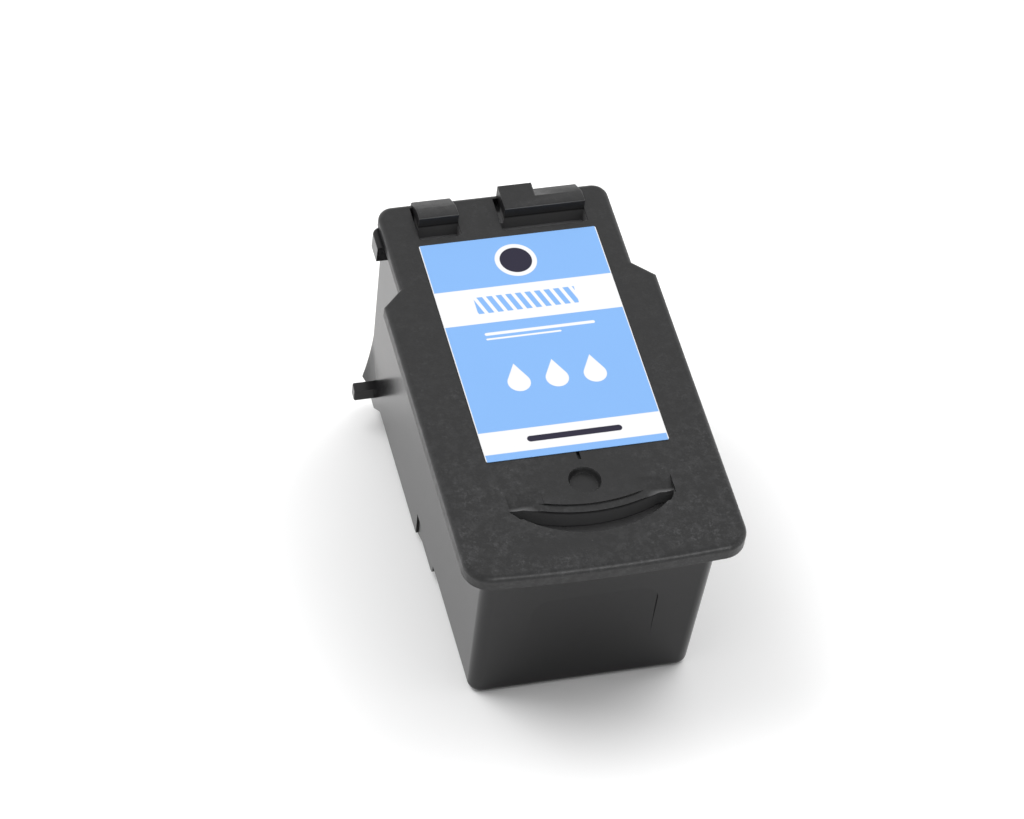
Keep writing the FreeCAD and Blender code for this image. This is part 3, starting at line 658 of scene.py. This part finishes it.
# %% Sealant and bond film
sealant_finish = Finish("sealant", (0.02, 0.02, 0.02), 0.25)
sealant_finish.bump(sealant_finish.noise(0.5, 2.0), 0.02)
for name in ("sealant_bead_front", "sealant_bead_rear", "chip_sealant", "chip_adhesive"):
    dress(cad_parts[name], sealant_finish)

bond_finish = Finish("bond adhesive", (0.3, 0.2, 0.09), 0.5)
bond_finish.bump(bond_finish.noise(0.8, 2.0), 0.01)
dress(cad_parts["bond_film"], bond_finish)

# %% [markdown]
# Chip and nozzles
#
# The chip is polished silicon. The thin amber layer on it carries two rows of nozzles, one on
# each side of the ink slot. Over the slot the layer is painted darker, as painted shade of the
# hollow slot below it. The nozzles are a twentieth of a millimetre wide. Hundreds of drilled
# holes would cost far more faces than the rest of the object, so they are drawn and given a
# little relief.

# %% Silicon and nozzle layer
NOZZLE_ROW = 0.55
NOZZLE_PITCH = 0.17
NOZZLE_RADIUS = 0.022
NOZZLE_RIM = 0.012
SLOT_HALF_WIDTH = 0.28

silicon_finish = Finish("silicon", (0.05, 0.05, 0.06), 0.12, IOR=2.2)
silicon_finish.roughness(0.1 + 0.1 * silicon_finish.noise(1.0, 2.0))
dress(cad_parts["printhead_chip"], silicon_finish)

nozzle_finish = Finish("nozzle layer", (0.20, 0.15, 0.07), 0.2)
nozzle_x = abs(nozzle_finish.axis("X"))
nozzle_y = nozzle_finish.axis("Y").folded(NOZZLE_PITCH / 2)
holes = length(nozzle_x - NOZZLE_ROW, nozzle_y).within(NOZZLE_RADIUS, NOZZLE_RIM)
# Painted shade: the layer is darker over the hollow ink slot.
over_slot_painted_shade = nozzle_x.within(SLOT_HALF_WIDTH, 0.06)
nozzle_base = nozzle_finish.mix(over_slot_painted_shade * 0.6, (0.20, 0.15, 0.07), (0.06, 0.045, 0.03))
nozzle_finish.color(nozzle_finish.mix(holes, nozzle_base, (0.004, 0.004, 0.004)))
nozzle_finish.bump(1 - holes, 0.01)
dress(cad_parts["nozzle_plate"], nozzle_finish)

# %% [markdown]
# Pieces inside the tank
#
# A block of fibre holds the ink, and a fine steel mesh keeps air and dirt out of the print
# head. Neither shows while the lid is on, but the part may be opened. Woven wires and single
# fibres could be modelled, and would cost thousands of faces that nobody sees. So the fibre
# is strong noise in colour and relief, and the mesh is two sets of wires, each a folded axis,
# with a gap where both leave room.

# %% Fibre and mesh
WIRE_PITCH = 0.1

fibre_finish = Finish("ink fibre", (0.03, 0.03, 0.035), 0.9)
strands = fibre_finish.noise(0.4, 4.0, 0.7)
fibre_finish.color(fibre_finish.mix(strands, (0.012, 0.012, 0.016), (0.07, 0.07, 0.08)))
fibre_finish.bump(strands, 0.2)
dress(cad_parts["ink_absorber"], fibre_finish)

mesh_finish = Finish("steel mesh", (0.55, 0.55, 0.54), 0.35, Metallic=1.0)
wires = [mesh_finish.axis(letter).folded(WIRE_PITCH / 2).ramp(0.01, 0.03) for letter in "XY"]
gaps = wires[0] * wires[1]
mesh_finish.color(mesh_finish.mix(gaps, (0.6, 0.6, 0.58), (0.03, 0.03, 0.03)))
mesh_finish.bump(1 - gaps, 0.02)
dress(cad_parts["outlet_filter"], mesh_finish)

# %% [markdown]
# The floor
#
# The cartridge doesn't stand level. It tips forward until the front edge of the tank and the
# low front edge of the print head both touch. The model keeps its frame, so the floor tilts
# instead, through those two edges. Of all corners of the tank, the front edge is the one with
# the smallest slope to the print head, as a ruler laid against the underside would find it.

# %% Where the floor lies
NEAR_THE_HEAD = 10 * MM

film_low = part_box("flex_circuit")[0]
rear_rest = Vector((0, film_low.y, film_low.z))
slopes = []
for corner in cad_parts["tank"].data.vertices:
    ahead = rear_rest.y - corner.co.y
    if ahead > NEAR_THE_HEAD:
        slopes.append(((corner.co.z - rear_rest.z) / ahead, ahead))
slope, ahead = min(slopes)
front_rest = rear_rest + Vector((0, -ahead, slope * ahead))
tilt = -math.atan(slope)
print("floor tilts by", round(math.degrees(tilt), 2), "degrees")

# %% [markdown]
# A pale disc
#
# A studio table is white paper that curves up out of sight. A curved backdrop could be built,
# but the sky is white anyway, so a pale matt disc that holds the shadow is all it takes. Its
# underside is clear, so that the print head can be looked at from below: Backfacing is 1
# there, and mixes in a transparent shader.

# %% Floor
FLOOR_RADIUS = 200 * MM

bpy.ops.object.select_all(action="DESELECT")
bpy.ops.mesh.primitive_circle_add(
    vertices=96, radius=FLOOR_RADIUS, fill_type="NGON",
    location=(front_rest + rear_rest) / 2, rotation=(tilt, 0, 0),
)
floor = bpy.context.object
floor.name = "floor"

floor_finish = Finish("pale floor", (0.93, 0.93, 0.93), 0.9, Specular_IOR_Level=0.0)
backface = floor_finish.add("ShaderNodeNewGeometry", {}, out="Backfacing")
opaque = Signal(floor_finish, floor_finish.shader.outputs[0])
clear = floor_finish.add("ShaderNodeBsdfTransparent", {})
both = floor_finish.add("ShaderNodeMixShader", {}, backface, opaque, clear)
floor_finish.feed(floor_finish.tree.nodes["Material Output"].inputs["Surface"], both)
dress(floor, floor_finish)

# %% [markdown]
# Lamps
#
# Two large soft lamps hang high behind the object, to its left and its right, and leave a soft
# shadow in front. A small hard lamp would draw a sharper one than a studio does. In the gloss
# of black plastic the lamps would show as white squares, so they light matt colour only. The
# third lamp does the opposite: it stands lower, in front, lights nothing, and is seen only in
# gloss, as a faint shine on what faces it.

# %% Lamps
def softbox(name, location, size, power, lights=True, mirrored=True):
    """A square lamp that faces the object. It `lights` it, is `mirrored` in gloss, or both."""
    bpy.ops.object.select_all(action="DESELECT")
    bpy.ops.object.light_add(type="AREA", location=location)
    lamp = bpy.context.object
    lamp.name = name
    lamp.data.size = size
    lamp.data.energy = power
    lamp.visible_diffuse = lights
    lamp.visible_glossy = mirrored
    aim = Vector((0, 0, 20 * MM)) - lamp.location
    lamp.rotation_euler = aim.to_track_quat("-Z", "Y").to_euler()
    print("lamp", name, "stands", round(aim.length, 2), "m away")


softbox("left", (-0.40, 0.26, 0.66), size=0.42, power=2.5, mirrored=False)
softbox("right", (0.38, 0.22, 0.66), size=0.45, power=1.5, mirrored=False)
softbox("glint", (0.141, -0.456, 0.364), size=0.22, power=1.10, lights=False)

# %% [markdown]
# The white surround
#
# Most of what black plastic shows is what it reflects, so the surround matters more than the
# lamps. A plain white world would do for a pale object. Here the camera sees plain white,
# gloss sees it a little brighter low down behind the object, where a backdrop catches the
# light, and on matt colour it shines less from the front, which deepens the shadow there.
# Light Path tells the three kinds of ray apart.

# %% Sky
GLOSS_LEVEL = 1.03
BACKDROP_EXTRA = 0.5
MATT_LEVEL = 1.18
FRONT_DROP = 1.30

world = bpy.data.worlds.new("studio")
bpy.context.scene.world = world
world.use_nodes = True
sky = Graph(world.node_tree)
background = sky.tree.nodes["Background"]
background.inputs["Color"].default_value = (1, 1, 1, 1)


def ray(kind):
    """1 for rays of one kind, and 0 for all others."""
    return sky.add("ShaderNodeLightPath", {}, out="Is " + kind + " Ray")


direction = sky.add("ShaderNodeTexCoord", {}, out="Generated")
rearward = sky.add("ShaderNodeSeparateXYZ", {}, direction, out="Y")
steepness = abs(sky.add("ShaderNodeSeparateXYZ", {}, direction, out="Z"))
seen = ray("Camera").most(ray("Transmission"))
mirrored = ray("Glossy")
in_gloss = mirrored * (GLOSS_LEVEL + BACKDROP_EXTRA * rearward.most(0.0) * (1 - steepness))
on_matt = (MATT_LEVEL - FRONT_DROP * (0 - rearward).most(0.0)) * (1 - mirrored.most(seen))
sky.feed(background.inputs["Strength"], in_gloss.most(seen).most(on_matt))
print("the sky has", len(sky.tree.nodes), "nodes")

# %% [markdown]
# The camera
#
# The camera stands in front of the object, to its left, and looks down at almost fifty
# degrees through a long lens. Its place and direction were worked out from the vanishing
# points of the lid's edges, which is surer than turning it by eye. They are written as the
# place and as two axes of unit length, and the third is square to both.

# %% Camera
CAMERA_PLACE = (-0.1581, -0.3950, 0.5288)
CAMERA_RIGHT = Vector((0.96441, -0.24299, 0.10424))
CAMERA_UP = Vector((0.12139, 0.75716, 0.64185))
CAMERA_LENS = 152.46
SENSOR_WIDTH = 36.0

bpy.ops.object.select_all(action="DESELECT")
bpy.ops.object.camera_add()
camera = bpy.context.object
camera.data.lens = CAMERA_LENS
camera.data.sensor_width = SENSOR_WIDTH
camera.data.clip_start = 0.01
turn = Matrix((CAMERA_RIGHT, CAMERA_UP, CAMERA_RIGHT.cross(CAMERA_UP))).transposed()
camera.matrix_world = Matrix.Translation(CAMERA_PLACE) @ turn.to_4x4()
bpy.context.scene.camera = camera
bpy.context.scene.view_settings.view_transform = "Standard"
print("camera stands", round(Vector(CAMERA_PLACE).length, 3), "m from the origin")
